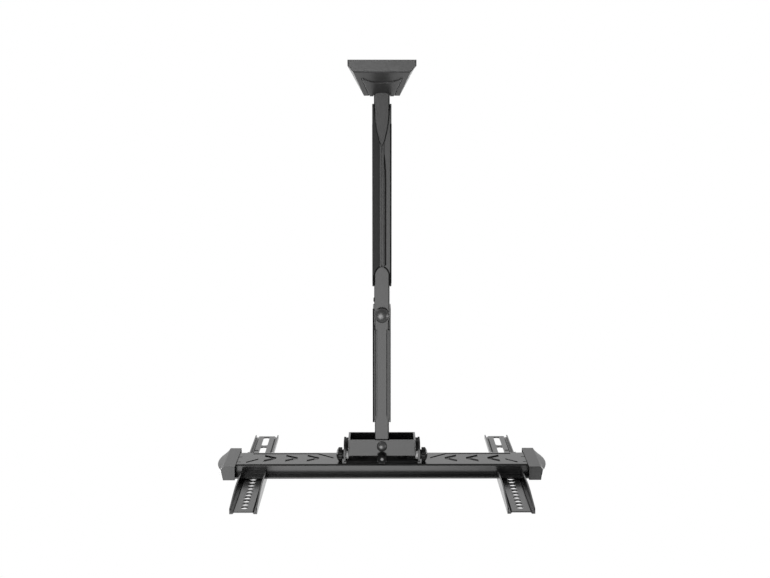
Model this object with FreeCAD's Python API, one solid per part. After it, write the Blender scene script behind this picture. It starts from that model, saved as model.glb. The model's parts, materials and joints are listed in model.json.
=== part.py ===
"""A full-motion television wall mount: a wall plate, two folding arms, a tilting head and a crossbar
that carries two sliding uprights. Millimetres. The wall is the plane Y = 0, the screen faces -Y, +Z is up.
The origin is the middle of the wall plate's back face, level with the middle of the arms."""
import math
import os

import FreeCAD
import Part

V = FreeCAD.Vector

# Fits
WASHER_THICK = 1.0
BOLT_PLAY = 0.05
COVER_PLAY = 0.2
SLIDE_PLAY = 0.4
TURN_GAP = 0.1
CUT_PAST = 1.0

# Arms
ARM1_LENGTH = 354.0
ARM1_WIDTH = 24.0
ARM1_HEIGHT = 52.0
ARM1_WALL = 3.0
ARM2_LENGTH = 209.0
ARM2_WIDTH = 22.4
ARM2_WALL = 2.5
TUBE_EDGE = 2.0
FORK_REACH = 27.0

# Cable sleeves
SLEEVE_WALL = 2.4
SLEEVE_EDGE = 1.2
SLEEVE1_START = 30.5
SLEEVE1_STOP = 45.5
SLEEVE1_BELLY = 2.0
SLEEVE1_SLIT = 1.2
SLEEVE1_LIP = 3.0
SLEEVE1_HOLLOW = 2.4
SLEEVE1_V = 64.0
SLEEVE1_V_SIDES = ((24.6, 10.3), (40.0, 7.9), (55.0, 4.4))
SLEEVE1_ARCH_LEGS = 11.0
SLEEVE1_ARCH_RISE = 19.0
SLEEVE2_PAST_ELBOW = 10.0
SLEEVE2_STOP = 38.0
SLEEVE2_SLIT = 14.8
SLEEVE2_LIP_START = 24.0
SLEEVE2_LIP_STOP = 42.0
SLEEVE2_FLARE = 4.0

# Wall plate, pivot ears and covers
WALL_PIVOT_OUT = 34.0
PLATE_THICK = 3.0
PLATE_CORNER = 6.0
EAR_THICK = 3.0
EAR_ROOT = 60.0
EAR_NOSE = 13.0
WALL_HOLE_R = 4.5
WALL_HOLES_ACROSS = 60.0
WALL_HOLES_TALL = 160.0
STUD_HOLES_TALL = 110.0
COVER_WIDTH = 100.0
COVER_HALF_HEIGHT = 108.0
COVER_START = 31.0
COVER_WALL = 2.4
COVER_SIDE = 9.0
COVER_END_DEPTH = 18.0
COVER_END_WIDTH = 83.0
COVER_ARM_WIDTH = 54.0
COVER_ARM_DEPTH = 52.0
COVER_BEVEL = 1.6
COVER_ARCH_R = 13.0
PANEL_RISE = 1.0
PANEL_MARGIN = 8.2
PANEL_ENDS = 65.8
PANEL_MIDDLE = 47.5
PANEL_GROOVE = 1.6
PANEL_GROOVE_DEEP = 0.8

# Pivot bolts
PIVOT_BOLT_R = 5.0
HEX_ACROSS = 17.0
HEX_TALL = 5.4
NUT_TALL = 5.4
WASHER_R = 9.5
ELBOW_CAP_R = 11.4
ELBOW_CAP_RIM = 6.0
ELBOW_CAP_TALL = 11.0
HEAD_BOLT_R = 4.0
HEAD_DOME_R = 8.0
HEAD_DOME_RIM = 1.5
HEAD_DOME_TALL = 6.0
HEAD_WASHER_R = 8.0

# Swivel bracket and tilt bracket
HEAD_SHEET = 3.0
HEAD_WIDTH = 106.0
HEAD_WALL_EDGE = 10.0
HEAD_TV_EDGE = 15.0
HEAD_WAIST = 2.5
TILT_AXIS_OUT = 15.0
TILT_AXIS_DROP = 16.5
TILT_BOLT_R = 4.0
TILT_LOBE_R = 7.5
TILT_LOBE_GAP = 0.5
TILT_HEAD_THICK = 3.2
TILT_WASHER_R = 8.0
TILT_WASHER_THICK = 4.0
TILT_SHEET = 3.0
TILT_WEB_HEIGHT = 64.0
TILT_EAR_NOSE = 13.0
TILT_EAR_REACH = 7.0
TILT_EAR_TOP = 20.0
TILT_EAR_ROUND = 14.0
KNOB_WASHER_THICK = 1.0
KNOB_R = 11.0
KNOB_THICK = 11.0
KNOB_RIM = 5.5
KNOB_SKIN = 2.5
KNOB_HUB_R = 7.5
KNOB_HUB_TALL = 1.5
KNOB_LOBES = 10
KNOB_GROOVE_R = 2.0
KNOB_GROOVE_OUT = 0.7

# Level adjustment
LEVEL_TURN = 3.0
LEVEL_BOLT_R = 4.0
LEVEL_BOLT_AT = 32.0
LEVEL_HEAD_R = 7.0
LEVEL_HEAD_THICK = 2.6
LEVEL_NUT_ACROSS = 13.0
LEVEL_NUT_TALL = 6.5
LOCK_TAB_WIDTH = 14.0
LOCK_TAB_DEPTH = 11.0
LOCK_SCREW_R = 2.5
LOCK_HEAD_R = 6.5
LOCK_HEAD_TALL = 6.0
LOCK_SCREW_LENGTH = 4.5

# Crossbar and its end caps
BAR_PAST_SCREEN = 45.0
BAR_SHEET = 2.5
BAR_WEB_HEIGHT = 72.0
BAR_DEPTH = 18.0
BAR_LIP = 18.0
BAR_BEND = 3.0
CHEVRON_COUNT = 3
CHEVRON_FIRST = 100.0
CHEVRON_LAST_IN = 77.0
CHEVRON_LENGTH = 19.0
CHEVRON_RISE = 15.0
CHEVRON_STROKE = 11.0
SLASH_STROKE = 6.5
OUTER_SLASH_IN = (31.0, 49.0)
OUTER_SLASH_Z = (-24.0, -5.0)
INNER_SLASH_FOOT = (77.0, 2.0)
INNER_SLASH_HEAD = (103.0, 27.0)
TRIM_SLOT_IN = 38.0
TRIM_SLOT_STROKE = 5.0
CLIP_IN = (16.5, 22.5)
CLIP_PLACES = (8.0, -21.0)
CLIP_TALL = 2.4
CAP_WALL = 1.6
CAP_OVERLAP = 16.5
CAP_FACE_PAST = 1.5
CAP_END_PAST = 5.0
CAP_BULGE = 9.7
CAP_BEVEL = 6.0
CAP_TAPER = 3.0

# Uprights
SCREEN_SPACING = 400.0
UPRIGHT_LENGTH = 430.0
UPRIGHT_WIDTH = 40.0
UPRIGHT_SHEET = 2.0
UPRIGHT_FLAT = 26.8
UPRIGHT_RAISE = 2.0
UPRIGHT_SETBACK = 1.5
UPRIGHT_FOOT_DEPTH = 8.0
UPRIGHT_BELLY_DEPTH = 18.2
UPRIGHT_BELLY_UP = 85.0
UPRIGHT_BELLY_R = 400.0
UPRIGHT_NECK_DEPTH = 7.0
UPRIGHT_TOP_DEPTH = 6.0
UPRIGHT_FOOT_ROUND = 4.0
FLANGE_ROUND = 2.0
HOOK_DROP = 11.0
HOOK_THICK = 6.9
HOOK_ROOT = 3.0
HOOK_HEAD = 14.0
NECK_RUN = 27.0
SCREEN_HOLE_R = 5.5
LADDER_COUNT = 10
LADDER_FOOT = 18.0
LADDER_PITCH = 16.2
SLOT_WIDTH = 10.5
LONG_SLOT_DOWN = (62.0, 6.0)
SHORT_SLOT_DOWN = (112.0, 70.0)
SIDE_HOLE_DOWN = 95.0
SIDE_HOLE_OFF = 10.5
SIDE_HOLE_R = 3.3
LATCH_SCREW_R = 2.0
LATCH_HEAD_R = 3.4
LATCH_HEAD_TALL = 4.0

# Heights and places that follow from the sizes above
ARM1_TOP = ARM1_HEIGHT / 2
FORK_GAP = ARM1_TOP - ARM1_WALL
ARM2_TOP = FORK_GAP - WASHER_THICK
EAR_LOW = ARM1_TOP + WASHER_THICK
EAR_HIGH = EAR_LOW + EAR_THICK
WALL_PIVOT_Y = -WALL_PIVOT_OUT
ELBOW_Y = WALL_PIVOT_Y - ARM1_LENGTH
HEAD_Y = ELBOW_Y - ARM2_LENGTH
HEAD_TOP = FORK_GAP + HEAD_SHEET
HEAD_SIDE = HEAD_WIDTH / 2
TILT_Y = HEAD_Y - TILT_AXIS_OUT
TILT_Z = -TILT_AXIS_DROP
TILT_HEAD_R = FORK_GAP - TILT_AXIS_DROP - COVER_PLAY
TILT_WEB_Y = TILT_Y - TILT_LOBE_R - TILT_LOBE_GAP
TILT_BACK_Y = TILT_WEB_Y - TILT_SHEET
TILT_EAR_X = HEAD_SIDE + TILT_WASHER_THICK
TILT_SIDE = TILT_EAR_X + TILT_SHEET
KNOB_X = TILT_SIDE + KNOB_WASHER_THICK
BAR_Y = TILT_BACK_Y - TURN_GAP
BAR_BACK_Y = BAR_Y - BAR_DEPTH
BAR_TOP = BAR_WEB_HEIGHT / 2
LIP_TOP = BAR_TOP + BAR_LIP
UPRIGHT_Y = BAR_BACK_Y - UPRIGHT_SETBACK
UPRIGHT_BACK_Y = UPRIGHT_Y - UPRIGHT_SHEET - UPRIGHT_RAISE
HOOK_Y = BAR_BACK_Y + BAR_SHEET + SLIDE_PLAY
HOOK_FRONT_Y = HOOK_Y + HOOK_THICK
LATCH_Y = UPRIGHT_Y + COVER_PLAY + LATCH_HEAD_R
BRIDGE_LOW = LIP_TOP + HOOK_ROOT
BRIDGE_HIGH = BRIDGE_LOW + UPRIGHT_SHEET
BAR_END = SCREEN_SPACING / 2 + BAR_PAST_SCREEN
BAR_LENGTH = 2 * BAR_END
CAP_INNER_EDGE = BAR_END - CAP_OVERLAP
COVER_INSIDE = COVER_WIDTH / 2 - COVER_WALL
PLATE_SIDE = COVER_INSIDE - COVER_PLAY
PLATE_TOP = COVER_HALF_HEIGHT - COVER_WALL - COVER_PLAY
ACROSS = V(1, 0, 0)
OUTWARD = V(0, -1, 0)
UP = V(0, 0, 1)


def box(x, y, z):
    """A block between a low and a high limit along each axis."""
    return Part.makeBox(x[1] - x[0], y[1] - y[0], z[1] - z[0], V(x[0], y[0], z[0]))


def rod(radius, start, end):
    """A round bar between two points."""
    return Part.makeCylinder(radius, (end - start).Length, start, end - start)


def ring(outer, inner, start, end):
    """A washer or tube between two points."""
    return rod(outer, start, end).cut(rod(inner, start, end))


def outline(corners):
    """A closed wire through corner points, each given with the radius that rounds it."""
    arrivals = []
    departures = []
    edges = []
    count = len(corners)
    for index, (point, radius) in enumerate(corners):
        back = (corners[index - 1][0] - point).normalize()
        ahead = (corners[(index + 1) % count][0] - point).normalize()
        half = back.getAngle(ahead) / 2
        reach = radius / math.tan(half)
        arrivals.append(point + back * reach)
        departures.append(point + ahead * reach)
        if radius > 0:
            inward = (back + ahead).normalize()
            middle = point + inward * (radius / math.sin(half) - radius)
            edges.append(Part.Arc(arrivals[-1], middle, departures[-1]).toShape())
        else:
            edges.append(None)
    path = []
    for index in range(count):
        if edges[index]:
            path.append(edges[index])
        path.append(Part.LineSegment(departures[index], arrivals[(index + 1) % count]).toShape())
    return Part.Wire(path)


def slab(corners, along):
    """A flat outline with rounded corners, carried along a vector into a solid."""
    return Part.Face(outline(corners)).extrude(along)


def sharp(points):
    """Corner points with no rounding."""
    return [(point, 0) for point in points]


def capsule(radius, start, end, along):
    """A round-ended bar: a slot or tongue between two centres, carried along a vector."""
    run = (end - start).normalize()
    side = run.cross(along).normalize() * radius
    path = [
        Part.LineSegment(start + side, end + side).toShape(),
        Part.Arc(end + side, end + run * radius, end - side).toShape(),
        Part.LineSegment(end - side, start - side).toShape(),
        Part.Arc(start - side, start - run * radius, start + side).toShape(),
    ]
    return Part.Face(Part.Wire(path)).extrude(along)


def hexagon(across, start, end):
    """A hexagonal head or nut along the Y or Z axis."""
    run = end - start
    side = ACROSS
    other = run.cross(side).normalize()
    reach = across / 2 / math.cos(math.pi / 6)
    turns = [math.pi / 3 * step for step in range(6)]
    points = [start + side * (reach * math.cos(turn)) + other * (reach * math.sin(turn)) for turn in turns]
    return slab(sharp(points), run)


def dome(radius, rim, tall, base, up):
    """A round cap: a short straight rim under a part of a sphere."""
    rise = tall - rim
    ball = (radius * radius + rise * rise) / (2 * rise)
    centre = base + up * (tall - ball)
    return rod(radius, base, base + up * tall).common(Part.makeSphere(ball, centre))


def on_axis(y, z):
    """A point on the middle plane of the mount."""
    return V(0, y, z)


def flip_x(shape):
    """The same piece on the other side of the middle."""
    return shape.mirror(V(0, 0, 0), ACROSS)


def flip_z(shape):
    """The same piece above instead of below."""
    return shape.mirror(V(0, 0, 0), UP)


def wall_plate():
    """Steel plate with two pivot ears welded to it, four wall holes and two stud holes on its middle."""
    corners = [(-1, -1), (1, -1), (1, 1), (-1, 1)]
    rim = [(V(x * PLATE_SIDE, 0, z * PLATE_TOP), PLATE_CORNER) for x, z in corners]
    plate = slab(rim, OUTWARD * PLATE_THICK)
    nose = on_axis(WALL_PIVOT_Y, EAR_LOW)
    plan = [V(-EAR_ROOT / 2, 0, EAR_LOW), V(EAR_ROOT / 2, 0, EAR_LOW)]
    plan += [nose + ACROSS * EAR_NOSE, nose - ACROSS * EAR_NOSE]
    ear = slab(sharp(plan), UP * EAR_THICK).fuse(rod(EAR_NOSE, nose, nose + UP * EAR_THICK))
    places = [(x * WALL_HOLES_ACROSS / 2, z * WALL_HOLES_TALL / 2) for x, z in corners]
    places += [(0, STUD_HOLES_TALL / 2), (0, -STUD_HOLES_TALL / 2)]
    holes = [rod(WALL_HOLE_R, V(x, CUT_PAST, z), V(x, -PLATE_THICK - CUT_PAST, z)) for x, z in places]
    body = plate.fuse([ear, flip_z(ear)]).removeSplitter()
    return body.cut(holes + [bore(PIVOT_BOLT_R, WALL_PIVOT_Y, EAR_HIGH)])


def cover_ring(height, inset, back):
    """The wall cover's plan at one depth below the arms, drawn in at its front and sides."""
    share = (height - COVER_START) / (COVER_HALF_HEIGHT - COVER_START)
    front = COVER_ARM_DEPTH + (COVER_END_DEPTH - COVER_ARM_DEPTH) * share - inset
    half = (COVER_ARM_WIDTH + (COVER_END_WIDTH - COVER_ARM_WIDTH) * share) / 2 - inset
    side = COVER_WIDTH / 2 - inset
    points = [V(-side, back, -height), V(-side, -COVER_SIDE, -height), V(-half, -front, -height)]
    return points + [V(half, -front, -height), V(side, -COVER_SIDE, -height), V(side, back, -height)]


def faceted(rings):
    """A solid with flat facets through a stack of outlines that have the same number of corners."""
    faces = [Part.Face(Part.makePolygon(points + points[:1])) for points in (rings[0], rings[-1])]
    for low, high in zip(rings, rings[1:]):
        for index in range(len(low)):
            a, b, c, d = low[index - 1], low[index], high[index], high[index - 1]
            faces += [Part.Face(Part.makePolygon(corner)) for corner in ((a, b, c, a), (a, c, d, a))]
    shell = Part.makeShell(faces)
    shell.sewShape()
    solid = Part.makeSolid(shell)
    if solid.Volume < 0:
        solid.reverse()
    return solid.removeSplitter()


def on_slope(x, run, rise):
    """A point on the sloping front of the wall cover: across it, along it from the arm, and out from it."""
    slope = on_axis(COVER_ARM_DEPTH - COVER_END_DEPTH, COVER_START - COVER_HALF_HEIGHT)
    slope.normalize()
    return V(x, -COVER_ARM_DEPTH, -COVER_START) + slope * run + slope.cross(ACROSS) * rise


def panel_side(run):
    """How far the side of the raised panel is from the middle at one place along the slope."""
    slope = on_axis(COVER_ARM_DEPTH - COVER_END_DEPTH, COVER_START - COVER_HALF_HEIGHT)
    spread = (COVER_END_WIDTH - COVER_ARM_WIDTH) / 2 / slope.Length
    return COVER_ARM_WIDTH / 2 - PANEL_MARGIN + spread * run


def cover_panel():
    """Low raised panel on the sloping front of the wall cover, with a sagging top edge."""
    sunk = -COVER_WALL / 2
    low = [on_slope(side * panel_side(0), 0, sunk) for side in (-1, 1)]
    high = [on_slope(side * panel_side(PANEL_ENDS), PANEL_ENDS, sunk) for side in (1, -1)]
    edges = [Part.LineSegment(low[0], low[1]).toShape(), Part.LineSegment(low[1], high[0]).toShape()]
    edges.append(Part.Arc(high[0], on_slope(0, PANEL_MIDDLE, sunk), high[1]).toShape())
    edges.append(Part.LineSegment(high[1], low[0]).toShape())
    return Part.Face(Part.Wire(edges)).extrude(on_slope(0, 0, PANEL_RISE) - on_slope(0, 0, sunk))


def panel_groove():
    """The cutter for the groove along one side of the raised panel."""
    half = PANEL_GROOVE / 2
    corners = [(panel_side(run) + step, run) for run, step in ((0, -half), (0, half))]
    corners += [(panel_side(run) + step, run) for run, step in ((PANEL_ENDS, half), (PANEL_ENDS, -half))]
    points = [on_slope(x, run, -PANEL_GROOVE_DEEP) for x, run in corners]
    return slab(sharp(points), on_slope(0, 0, PANEL_RISE + CUT_PAST) - on_slope(0, 0, -PANEL_GROOVE_DEEP))


def wall_cover():
    """Moulded hood that closes the lower half of the wall plate, with an arch that clears the arm."""
    outer_rings = [cover_ring(COVER_START, 0, 0), cover_ring(COVER_HALF_HEIGHT - COVER_BEVEL, 0, 0)]
    outer_rings.append(cover_ring(COVER_HALF_HEIGHT, COVER_BEVEL, 0))
    inner_rings = [cover_ring(COVER_START - CUT_PAST, COVER_WALL, CUT_PAST)]
    inner_rings.append(cover_ring(COVER_HALF_HEIGHT - COVER_WALL, COVER_WALL, CUT_PAST))
    arch_front = on_axis(-COVER_ARM_DEPTH - COVER_WALL, -COVER_START)
    arch = rod(COVER_ARCH_R, arch_front, on_axis(WALL_PIVOT_Y, -COVER_START))
    skin = faceted(outer_rings).fuse(cover_panel()).removeSplitter()
    groove = panel_groove()
    return skin.cut([faceted(inner_rings), arch, groove, flip_x(groove)])


def tube(half_width, top, wall, start_y, end_y):
    """A box-section arm with its ends cut round in plan, whose side walls stop at the two pivots."""
    past = half_width + CUT_PAST
    bar = box((-half_width, half_width), (end_y - past, start_y + past), (-top, top))
    bar = bar.makeFillet(TUBE_EDGE, [edge for edge in bar.Edges if edge.BoundBox.YLength > past])
    solid = bar.common(capsule(half_width, on_axis(start_y, -top), on_axis(end_y, -top), UP * 2 * top))
    inside = half_width - wall
    gap = (wall - top, top - wall)
    hollow = box((-inside, inside), (end_y - past, start_y + past), gap)
    end_spans = [(start_y, start_y + past), (end_y - past, end_y)]
    ends = [box((-past, past), span, gap) for span in end_spans]
    return solid.cut([hollow] + ends)


def bore(radius, y, top):
    """The cutter for a pivot hole that runs up through an arm."""
    return rod(radius + BOLT_PLAY, on_axis(y, -top - CUT_PAST), on_axis(y, top + CUT_PAST))


def inner_arm():
    """The arm at the wall: a tube whose top and bottom walls reach on as a fork round the elbow."""
    body = tube(ARM1_WIDTH / 2, ARM1_TOP, ARM1_WALL, WALL_PIVOT_Y, ELBOW_Y)
    past = ARM1_WIDTH / 2 + CUT_PAST
    fork = box((-past, past), (ELBOW_Y - past, ELBOW_Y + FORK_REACH), (-FORK_GAP, FORK_GAP))
    bores = [bore(PIVOT_BOLT_R, y, ARM1_TOP) for y in (WALL_PIVOT_Y, ELBOW_Y)]
    return body.cut([fork] + bores)


def outer_arm():
    """The short arm from the elbow to the head."""
    body = tube(ARM2_WIDTH / 2, ARM2_TOP, ARM2_WALL, ELBOW_Y, HEAD_Y)
    return body.cut([bore(PIVOT_BOLT_R, ELBOW_Y, ARM2_TOP), bore(HEAD_BOLT_R, HEAD_Y, ARM2_TOP)])


def channel(inside, top, belly, stop_y, start_y):
    """A closed plastic sleeve over an arm, with bevelled long edges and a thicker underside."""
    side = inside + SLEEVE_WALL
    high = top + SLEEVE_WALL
    body = box((-side, side), (stop_y, start_y), (-high - belly, high))
    long_edges = [edge for edge in body.Edges if edge.BoundBox.YLength > side]
    body = body.makeChamfer(SLEEVE_EDGE, long_edges)
    return body.cut(box((-inside, inside), (stop_y - CUT_PAST, start_y + CUT_PAST), (-top, top)))


def floor_cut(points, top, belly):
    """A cutter that opens the underside of a sleeve along a plan outline."""
    floor = SLEEVE_WALL + belly
    low = -top - floor - CUT_PAST
    return slab(sharp([V(x, y, low) for x, y in points]), UP * (floor + 2 * CUT_PAST))


def inner_arm_sleeve():
    """Cable sleeve of the inner arm: two halves that slope in to a slit, which opens to a V and an arch."""
    inside = ARM1_WIDTH / 2 + COVER_PLAY
    top = ARM1_TOP + COVER_PLAY
    start_y = WALL_PIVOT_Y - SLEEVE1_START
    stop_y = ELBOW_Y + SLEEVE1_STOP
    slit = SLEEVE1_SLIT / 2
    past_stop = stop_y - CUT_PAST
    half = [(-inside, start_y + CUT_PAST)] + [(-x, start_y - run) for run, x in SLEEVE1_V_SIDES]
    half += [(-slit, start_y - SLEEVE1_V), (-slit, past_stop)]
    vee = half + [(-x, y) for x, y in reversed(half)]
    arch_y = stop_y + SLEEVE1_ARCH_LEGS
    legs = [(-inside, past_stop), (inside, past_stop), (inside, arch_y), (-inside, arch_y)]
    low = -top - SLEEVE_WALL - SLEEVE1_BELLY
    under = low - CUT_PAST
    crown_top = on_axis(arch_y + SLEEVE1_ARCH_RISE, under)
    crown = Part.Ellipse(crown_top, V(inside, arch_y, under), on_axis(arch_y, under)).toShape()
    cuts = [floor_cut(points, top, SLEEVE1_BELLY) for points in (vee, legs)]
    cuts.append(Part.Face(Part.Wire(crown)).extrude(UP * (CUT_PAST - top - under)))
    edge = inside + SLEEVE_WALL - SLEEVE_EDGE
    section = [(SLEEVE1_LIP, under), (edge, under), (edge, low), (SLEEVE1_LIP, low + SLEEVE1_HOLLOW)]
    length = V(0, start_y - past_stop + CUT_PAST, 0)
    hollow = slab(sharp([V(x, past_stop, z) for x, z in section]), length)
    cuts += [hollow, flip_x(hollow)]
    return channel(inside, top, SLEEVE1_BELLY, stop_y, start_y).cut(cuts)


def outer_arm_sleeve():
    """Cable sleeve of the outer arm: side cheeks pass the fork, and a wide slit flares out at the head."""
    inside = ARM2_WIDTH / 2 + COVER_PLAY
    top = ARM2_TOP + COVER_PLAY
    start_y = ELBOW_Y + SLEEVE2_PAST_ELBOW
    stop_y = HEAD_Y + SLEEVE2_STOP
    lip_start = ELBOW_Y - SLEEVE2_LIP_START
    lip_stop = HEAD_Y + SLEEVE2_LIP_STOP
    slit = SLEEVE2_SLIT / 2
    past = inside + SLEEVE_WALL + CUT_PAST
    roof = top + SLEEVE_WALL + CUT_PAST
    slots = [(-slit, lip_start + CUT_PAST), (-slit, lip_stop + SLEEVE2_FLARE), (-inside, lip_stop)]
    slots += [(inside, lip_stop), (slit, lip_stop + SLEEVE2_FLARE), (slit, lip_start + CUT_PAST)]
    trims = [floor_cut(slots, top, 0)]
    for span in ((lip_start, start_y + CUT_PAST), (stop_y - CUT_PAST, lip_stop)):
        trims.append(box((-past, past), span, (ARM2_TOP, roof)))
        trims.append(box((-past, past), span, (-roof, -ARM2_TOP)))
    return channel(inside, top, 0, stop_y, start_y).cut(trims)


def pivot_bolt(y, top):
    """Hexagon bolt that hangs down through a pivot from above."""
    head = hexagon(HEX_ACROSS, on_axis(y, top), on_axis(y, top + HEX_TALL))
    return head.fuse(rod(PIVOT_BOLT_R, on_axis(y, -top - NUT_TALL), on_axis(y, top)))


def pivot_nut(y, top):
    """Lock nut under a pivot."""
    nut = hexagon(HEX_ACROSS, on_axis(y, -top - NUT_TALL), on_axis(y, -top))
    return nut.cut(rod(PIVOT_BOLT_R + BOLT_PLAY, on_axis(y, -top - NUT_TALL), on_axis(y, -top)))


def washer_pair(y, outer, inner, low):
    """Two plain washers, one above and one below an arm."""
    upper = ring(outer, inner + BOLT_PLAY, on_axis(y, low), on_axis(y, low + WASHER_THICK))
    return Part.makeCompound([upper, flip_z(upper)])


def elbow_cap():
    """Domed plastic cap under the elbow, hollow over the nut."""
    base = on_axis(ELBOW_Y, -ARM1_TOP)
    skin = dome(ELBOW_CAP_R, ELBOW_CAP_RIM, ELBOW_CAP_TALL, base, -UP)
    reach = HEX_ACROSS / 2 / math.cos(math.pi / 6) + COVER_PLAY
    return skin.cut(rod(reach, base, base - UP * (NUT_TALL + COVER_PLAY)))


def swivel_bracket():
    """Folded steel box of the head: two flanges round the arm, a web behind it and an ear at each end."""
    wall_y = HEAD_Y + HEAD_WALL_EDGE
    tv_y = HEAD_Y - HEAD_TV_EDGE
    waist = HEAD_SIDE - HEAD_WAIST
    plan = [V(-HEAD_SIDE, tv_y, FORK_GAP), V(HEAD_SIDE, tv_y, FORK_GAP), V(waist, HEAD_Y, FORK_GAP)]
    plan += [V(HEAD_SIDE, wall_y, FORK_GAP), V(-HEAD_SIDE, wall_y, FORK_GAP), V(-waist, HEAD_Y, FORK_GAP)]
    flange = slab(sharp(plan), UP * HEAD_SHEET)
    ear_x = (HEAD_SIDE - HEAD_SHEET, HEAD_SIDE)
    web_side = ear_x[0] - TILT_HEAD_THICK - CUT_PAST
    web = box((-web_side, web_side), (tv_y, tv_y + HEAD_SHEET), (-FORK_GAP, FORK_GAP))
    lobe = rod(TILT_LOBE_R, along_tilt(ear_x[0]), along_tilt(ear_x[1]))
    ear = box(ear_x, (tv_y, wall_y), (-FORK_GAP, FORK_GAP)).fuse(lobe)
    body = flange.fuse([flip_z(flange), web, ear, flip_x(ear)]).removeSplitter()
    tilt_bore = rod(TILT_BOLT_R + BOLT_PLAY, along_tilt(ear_x[0]), along_tilt(ear_x[1]))
    return body.cut([bore(HEAD_BOLT_R, HEAD_Y, HEAD_TOP), tilt_bore, flip_x(tilt_bore)])


def head_pivot_bolt():
    """Dome-headed bolt that stands up through the head from below."""
    base = on_axis(HEAD_Y, -HEAD_TOP)
    head = dome(HEAD_DOME_R, HEAD_DOME_RIM, HEAD_DOME_TALL, base, -UP)
    return head.fuse(rod(HEAD_BOLT_R, base, on_axis(HEAD_Y, HEAD_TOP + HEAD_DOME_RIM)))


def head_pivot_nut():
    """Domed cap nut on top of the head."""
    base = on_axis(HEAD_Y, HEAD_TOP)
    skin = dome(HEAD_DOME_R, HEAD_DOME_RIM, HEAD_DOME_TALL, base, UP)
    return skin.cut(rod(HEAD_BOLT_R + BOLT_PLAY, base, base + UP * (HEAD_DOME_RIM + TURN_GAP)))


def along_tilt(x):
    """A point on the tilt axis."""
    return V(x, TILT_Y, TILT_Z)


def tilt_bolt():
    """Round-headed bolt from inside the swivel bracket out into the knob."""
    seat = HEAD_SIDE - HEAD_SHEET
    head = rod(TILT_HEAD_R, along_tilt(seat - TILT_HEAD_THICK), along_tilt(seat))
    end = KNOB_X + KNOB_THICK - KNOB_SKIN
    return head.fuse(rod(TILT_BOLT_R, along_tilt(seat), along_tilt(end)))


def tilt_knob():
    """Hand knob with a fluted rim and a domed face, on a round hub that bears on its washer."""
    rim_start = KNOB_X + KNOB_HUB_TALL
    end = KNOB_X + KNOB_THICK
    grip = dome(KNOB_R, KNOB_RIM, KNOB_THICK - KNOB_HUB_TALL, along_tilt(rim_start), ACROSS)
    hub = rod(KNOB_HUB_R, along_tilt(KNOB_X), along_tilt(rim_start))
    flutes = []
    for step in range(KNOB_LOBES):
        turn = 2 * math.pi * step / KNOB_LOBES
        off = V(0, math.cos(turn), math.sin(turn)) * (KNOB_R + KNOB_GROOVE_OUT)
        flutes.append(rod(KNOB_GROOVE_R, along_tilt(rim_start) + off, along_tilt(end) + off))
    socket = rod(TILT_BOLT_R + BOLT_PLAY, along_tilt(KNOB_X), along_tilt(end - KNOB_SKIN + TURN_GAP))
    return grip.fuse(hub).cut(flutes + [socket])


def side_rings(outer, start, end):
    """A washer on the tilt bolt at each side of the head."""
    one = ring(outer, TILT_BOLT_R + BOLT_PLAY, along_tilt(start), along_tilt(end))
    return Part.makeCompound([one, flip_x(one)])


def level_places():
    """Where the three level bolts pass through the tilt bracket and the crossbar."""
    return (-LEVEL_BOLT_AT, 0.0, LEVEL_BOLT_AT)


def tilt_bracket():
    """Folded steel U that carries the crossbar and tilts on two ears, with a tab for the level lock."""
    half = TILT_WEB_HEIGHT / 2
    web = box((-TILT_SIDE, TILT_SIDE), (TILT_BACK_Y, TILT_WEB_Y), (-half, half))
    nose_y = HEAD_Y + TILT_EAR_REACH
    low = TILT_Z - TILT_EAR_NOSE
    profile = [(V(TILT_EAR_X, TILT_BACK_Y, low), 0), (V(TILT_EAR_X, nose_y, low), TILT_EAR_ROUND)]
    profile += [(V(TILT_EAR_X, nose_y, TILT_EAR_TOP), TILT_EAR_ROUND)]
    profile += [(V(TILT_EAR_X, TILT_BACK_Y, TILT_EAR_TOP), 0)]
    ear = slab(profile, ACROSS * TILT_SHEET)
    tab_x = (-LOCK_TAB_WIDTH / 2, LOCK_TAB_WIDTH / 2)
    tab = box(tab_x, (TILT_WEB_Y, TILT_WEB_Y + LOCK_TAB_DEPTH), (-half, TILT_SHEET - half))
    body = web.fuse([ear, flip_x(ear), tab]).removeSplitter()
    holes = [rod(TILT_BOLT_R + BOLT_PLAY, along_tilt(-TILT_SIDE), along_tilt(TILT_SIDE))]
    for x in level_places():
        holes.append(rod(LEVEL_BOLT_R + BOLT_PLAY, V(x, TILT_WEB_Y, 0), V(x, TILT_BACK_Y, 0)))
    lock = lock_axis()
    holes.append(rod(LOCK_SCREW_R + BOLT_PLAY, lock, lock + UP * TILT_SHEET))
    return body.cut(holes)


def lock_axis():
    """The foot of the level lock screw's axis, on the underside of its tab."""
    return on_axis(TILT_WEB_Y + LOCK_TAB_DEPTH / 2, -TILT_WEB_HEIGHT / 2)


def level_lock_screw():
    """Round-headed screw that stands up through the tab of the tilt bracket."""
    foot = lock_axis()
    head = rod(LOCK_HEAD_R, foot - UP * LOCK_HEAD_TALL, foot)
    return head.fuse(rod(LOCK_SCREW_R, foot, foot + UP * LOCK_SCREW_LENGTH))


def level_bolts():
    """Three low-headed bolts through the tilt bracket: the middle one is the level pivot."""
    end_y = BAR_Y - BAR_SHEET - TURN_GAP - LEVEL_NUT_TALL
    bolts = []
    for x in level_places():
        head = rod(LEVEL_HEAD_R, V(x, TILT_WEB_Y + LEVEL_HEAD_THICK, 0), V(x, TILT_WEB_Y, 0))
        bolts.append(head.fuse(rod(LEVEL_BOLT_R, V(x, TILT_WEB_Y, 0), V(x, end_y, 0))))
    return Part.makeCompound(bolts)


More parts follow.
